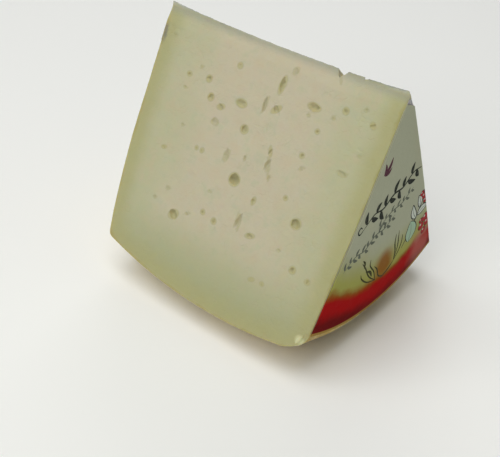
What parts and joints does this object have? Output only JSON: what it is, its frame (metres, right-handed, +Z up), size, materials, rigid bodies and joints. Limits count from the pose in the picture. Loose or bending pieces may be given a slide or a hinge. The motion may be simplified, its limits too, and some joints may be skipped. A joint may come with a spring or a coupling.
{
  "type": "cheese wedge",
  "caption": "Wedge of pressed goat's cheese with small eyes in the paste, a thin natural rind and a paper label on its end, standing on the rind with its tip up.",
  "frame": {"origin": "on the flattened patch of rind that the wedge stands on, straight below the middle of the wheel's axis", "axes": "+X along the wheel's axis towards the labelled face, +Y towards the back cut, +Z up towards the wedge's tip"},
  "size_m": [0.0933, 0.0782, 0.0888],
  "materials": {
    "cheese": "satin",
    "label_paper": "satin"
  },
  "bodies": {
    "root": {"cheese_wedge": "cheese", "paper_label": "label_paper"}
  },
  "joints": []
}
